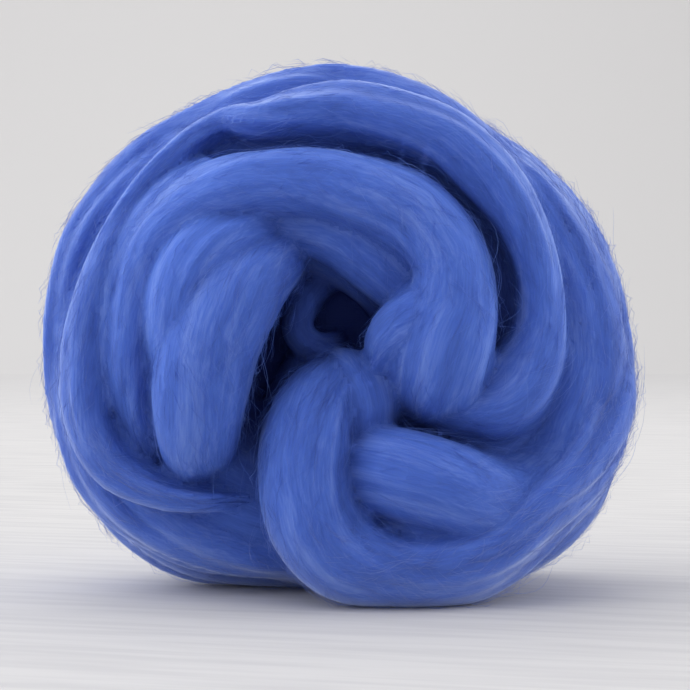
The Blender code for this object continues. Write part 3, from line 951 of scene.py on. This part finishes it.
    # None reaches through the floor.
    parts = add(tree, "ShaderNodeSeparateXYZ", [raised]).outputs
    lowest = add(tree, MATH, [given["Fibre radius"], FLOOR_ROOM], operation="MULTIPLY")
    height = add(tree, MATH, [parts[2], lowest], operation="MAXIMUM")
    above_floor = add(tree, "ShaderNodeCombineXYZ", [parts[0], parts[1], height])
    buried = add(tree, "GeometryNodeFieldOnDomain", {0: is_deep}, data_type="FLOAT", domain="CURVE")
    hidden = add(tree, MATH, [buried, HIDDEN_SHARE], operation="GREATER_THAN")
    marked = {"Geometry": lines, "Name": "hidden", "Value": hidden}
    marked = add(tree, "GeometryNodeStoreNamedAttribute", marked, data_type="BOOLEAN", domain="CURVE")
    laid = add(tree, "GeometryNodeSetPosition", {"Geometry": marked, "Position": above_floor})
    # Smoothing a long fibre lets it bridge a crease.
    smooth = {"Value": position, "Iterations": given["Smoothing"]}
    smooth = add(tree, "GeometryNodeBlurAttribute", smooth, data_type="FLOAT_VECTOR")
    laid = add(tree, "GeometryNodeSetPosition", {"Geometry": laid, "Position": smooth})
    # Each fibre also carries a random tone, its strand's straight place, and the skin's crease depth, by
    # which its material paints shade and takes away its glow in creases.
    kinds = {"tone": "FLOAT", "straight": "FLOAT_VECTOR", "crease": "FLOAT"}
    for (name, kind), value in zip(kinds.items(), (chance(10), straight, crease)):
        laid = {"Geometry": laid, "Name": name, "Value": value}
        laid = add(tree, "GeometryNodeStoreNamedAttribute", laid, data_type=kind, domain="POINT")
    is_hidden = add(tree, "GeometryNodeInputNamedAttribute", {"Name": "hidden"}, data_type="BOOLEAN")
    kept = add(tree, "GeometryNodeDeleteGeometry", [laid, is_hidden], domain="CURVE")
    taper = add(tree, MATH, [middle], operation="ABSOLUTE")
    taper = add(tree, MATH, [taper, 2.0], operation="POWER")
    taper = add(tree, MATH, [taper, TAPER], operation="MULTIPLY")
    taper = add(tree, MATH, [1.0, taper], operation="SUBTRACT")
    width = add(tree, MATH, [taper, given["Fibre radius"]], operation="MULTIPLY")
    width = add(tree, MATH, [width, chance(11, THINNEST, THICKEST)], operation="MULTIPLY")
    ring = add(tree, "GeometryNodeCurvePrimitiveCircle", {"Resolution": FIBRE_SIDES, "Radius": 1.0})
    tubes = {"Curve": kept, "Profile Curve": ring, "Scale": width, "Fill Caps": True}
    real = add(tree, "GeometryNodeRealizeInstances", [add(tree, "GeometryNodeCurveToMesh", tubes)])
    dressed = add(tree, "GeometryNodeSetMaterial", {"Geometry": real, "Material": given["Wool"]})
    add(tree, "NodeGroupOutput", [dressed])
    return tree


HIDDEN_DEPTH = 0.0012
SQUARE_CM = 10000  # in a square metre
lay_fibres = fibre_tree()
FibreLot = namedtuple("FibreLot", "kind front back points length radius slant wave lift tip_lift smoothing")
LOTS = [
    # fibres for each square centimetre of the face and of the back, points in each, then metres
    FibreLot("fibres", 9, 5, 5, 0.010, 0.00005, 0.50, 0.00028, 0.00030, 0.0010, 0),
    FibreLot("fuzz", 46, 14, 3, 0.0045, 0.00004, 1.80, 0.00020, 0.00060, 0.0018, 0),
    FibreLot("haze", 11, 8, 3, 0.0048, 0.00002, 2.00, 0.00020, 0.00060, 0.0034, 0),
    FibreLot("flyaways", 1.0, 0.8, 7, 0.020, 0.000025, 0.80, 0.00070, 0.00100, 0.0070, 1),
]
# Where a strand was pulled about, a nest of loose fibres lies over the crease beside it.
LOOSE = FibreLot("loose", 0, 0, 12, 0.022, 0.00004, 1.6, 0.00080, 0.00200, 0.0050, 4)
LooseSpot = namedtuple("LooseSpot", "start end count")
LOOSE_SPOTS = {
    "fan_turn": LooseSpot(0.03, 0.17, 420),
    "heel_turn": LooseSpot(0.01, 0.14, 420),
    "hook": LooseSpot(0.62, 0.92, 160),
    "left_lobe": LooseSpot(0.10, 0.95, 160),
    "front_turn": LooseSpot(0.01, 0.12, 160),
}
# The long strand starts on the face and ends on the back, so its fibres are laid stretch by stretch.
Stretch = namedtuple("Stretch", "start end back_share")
WHOLE = [Stretch(0, 1, 0)]
STRETCHES = {
    "front_turn": [Stretch(0, 0.22, 0), Stretch(0.22, 0.4, 0.2), Stretch(0.4, 0.6, 0.7), Stretch(0.6, 1, 1)]
}


def lay(turn, lot, count, start, end, seed, label):
    """Lays one lot of fibres on a stretch of a strand."""
    values = {
        "Skin": skin,
        "Hidden depth": HIDDEN_DEPTH,
        "Count": round(count),
        "Points": lot.points,
        "Strand length": turn["length_m"],
        "Strand girth": turn["girth_m"],
        "Twist": turn["twist"],
        "Fibre length": lot.length,
        "Fibre radius": lot.radius,
        "From": float(start),
        "To": float(end),
        "Slant": lot.slant,
        "Wave": lot.wave,
        "Lift": lot.lift,
        "Tip lift": lot.tip_lift,
        "Smoothing": lot.smoothing,
        "Seed": seed,
        "Wool": fibre_wool,
    }
    return grow(lay_fibres, f"{turn.name}_{label}", turn, values)


TURN_SEEDS, STRETCH_SEEDS, LOOSE_SEED = 100, 20, 90  # each stretch draws its own numbers
pieces = [skin]
for number, turn in enumerate(turns):
    area = turn["length_m"] * turn["girth_m"] * SQUARE_CM
    for lot in LOTS:
        for part, stretch in enumerate(STRETCHES.get(turn.name, WHOLE)):
            density = lot.front + (lot.back - lot.front) * stretch.back_share
            count = area * (stretch.end - stretch.start) * density
            seed = number * TURN_SEEDS + part * STRETCH_SEEDS
            label = f"{lot.kind}_{part + 1}"
            pieces.append(lay(turn, lot, count, stretch.start, stretch.end, seed, label))
    if turn.name in LOOSE_SPOTS:
        spot = LOOSE_SPOTS[turn.name]
        seed = number * TURN_SEEDS + LOOSE_SEED
        pieces.append(lay(turn, LOOSE, spot.count, spot.start, spot.end, seed, LOOSE.kind))
for turn in turns:
    bpy.data.objects.remove(turn)

# A strand that lies deep shows no fibres of some kinds.
for piece in pieces[:]:
    if not piece.data.polygons:
        pieces.remove(piece)
        bpy.data.objects.remove(piece)

for piece in pieces:
    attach(piece, "root")
    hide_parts("roving_ball")


# ------------------------------------------------------------
# The setting: a board painted white that runs up into a plain white wall. A broad soft window lights
# it from the upper left, two low lights reach the rim from both sides, one more lights the wall,
# and the room is pale all round.
# ------------------------------------------------------------
TABLE_COLOUR = "#CBCACA"
GRAIN_COLOUR = "#C2C1C2"  # the wood's grain shows faintly through the paint
GRAIN_LENGTH, GRAIN_WIDTH, GRAIN_ANGLE = 0.06, 0.005, 0.25
GRAIN_SHADES = (0.35, 0.60)  # where the noise gives the grain's colour and the paint's
TABLE_HALF_WIDTH = 8.0
TABLE_FRONT = -1.5
SWEEP_START = 3.4  # where the table starts to curve up
SWEEP_RADIUS = 3.2
SWEEP_STEPS = 24
WALL_TOP = 8.0
BOARD_ROUGHNESS, WALL_ROUGHNESS = 0.8, 0.9


def painted_board():
    """White paint on wood: the grain shows through as faint lines."""
    paint = bpy.data.materials.new("board_painted_white")
    paint.use_nodes = True
    tree = paint.node_tree
    shader = tree.nodes["Principled BSDF"]
    shader.inputs["Roughness"].default_value = BOARD_ROUGHNESS
    place = add(tree, "ShaderNodeTexCoord").outputs["Object"]
    turned = add(tree, "ShaderNodeMapping", {"Vector": place, "Rotation": (0, 0, GRAIN_ANGLE)})
    along = add(tree, VECTOR_MATH, [turned, (1 / GRAIN_LENGTH, 1 / GRAIN_WIDTH, 1)], operation="MULTIPLY")
    grain = add(tree, "ShaderNodeTexNoise", {"Vector": along, "Scale": 1.0, "Detail": 2.0})
    tint = add(tree, "ShaderNodeValToRGB", {"Fac": grain.outputs["Fac"]})
    for stop, place, white in zip(tint.color_ramp.elements, GRAIN_SHADES, (GRAIN_COLOUR, TABLE_COLOUR)):
        stop.position = place
        stop.color = linear(white)
    tree.links.new(tint.outputs["Color"], shader.inputs["Base Color"])
    return paint


def plain_wall():
    """The same white on a plain wall, which has no grain."""
    paint = bpy.data.materials.new("wall_painted_white")
    paint.use_nodes = True
    shader = paint.node_tree.nodes["Principled BSDF"]
    shader.inputs["Base Color"].default_value = linear(TABLE_COLOUR)
    shader.inputs["Roughness"].default_value = WALL_ROUGHNESS
    return paint


def swept_backdrop():
    """A pale surface that is flat under the ball and curves up into a wall far behind it."""
    profile = [(TABLE_FRONT, 0.0)]
    for step in range(SWEEP_STEPS + 1):
        angle = math.pi / 2 * step / SWEEP_STEPS
        profile.append((SWEEP_START + SWEEP_RADIUS * math.sin(angle), SWEEP_RADIUS * (1 - math.cos(angle))))
    profile.append((SWEEP_START + SWEEP_RADIUS, WALL_TOP))
    corners = [(side, y, z) for y, z in profile for side in (-TABLE_HALF_WIDTH, TABLE_HALF_WIDTH)]
    faces = [(2 * row, 2 * row + 1, 2 * row + 3, 2 * row + 2) for row in range(len(profile) - 1)]
    mesh = bpy.data.meshes.new("table")
    mesh.from_pydata(corners, [], faces)
    mesh.shade_smooth()
    mesh.materials.append(painted_board())
    mesh.materials.append(plain_wall())
    for face in mesh.polygons[1:]:
        face.material_index = 1
    surface = bpy.data.objects.new("table", mesh)
    scene.collection.objects.link(surface)


swept_backdrop()


def soft_light(name, place, aim, size, power):
    """A round lamp of that size, in metres, aimed at a spot."""
    light = bpy.data.lights.new(name, "AREA")
    light.shape = "DISK"
    light.size = size
    light.energy = power
    lamp = bpy.data.objects.new(name, light)
    lamp.location = place
    lamp.rotation_euler = (Vector(aim) - Vector(place)).to_track_quat("-Z", "Y").to_euler()
    scene.collection.objects.link(lamp)


soft_light("window", (-2.6, -0.2, 4.2), (0, 0, 0.07), 10.0, 232)
soft_light("side_left", (-1.7, 0.15, 0.8), (0, 0, 0.08), 1.8, 13)
soft_light("side_right", (1.8, 0.3, 0.5), (0, 0, 0.06), 1.6, 17)
soft_light("backdrop", (0, 3.5, 4), (0, 5.5, 0.6), 4, 38)
ROOM_COLOUR, ROOM_LIGHT = "#F8F7F8", 0.74
world = bpy.data.worlds.new("room_light")
world.use_nodes = True
room = world.node_tree.nodes["Background"].inputs
room["Color"].default_value = linear(ROOM_COLOUR)
room["Strength"].default_value = ROOM_LIGHT
scene.world = world
scene.view_settings.view_transform = "Standard"

CAMERA_PLACE = (0.0022, -0.4504, 0.067)
CAMERA_LENS, SENSOR_WIDTH = 86.56, 36
camera_data = bpy.data.cameras.new("camera")
camera_data.sensor_width = SENSOR_WIDTH
camera_data.lens = CAMERA_LENS
camera = bpy.data.objects.new("camera", camera_data)
camera.location = CAMERA_PLACE
camera.rotation_euler = (math.pi / 2, 0, 0)
scene.collection.objects.link(camera)
scene.camera = camera
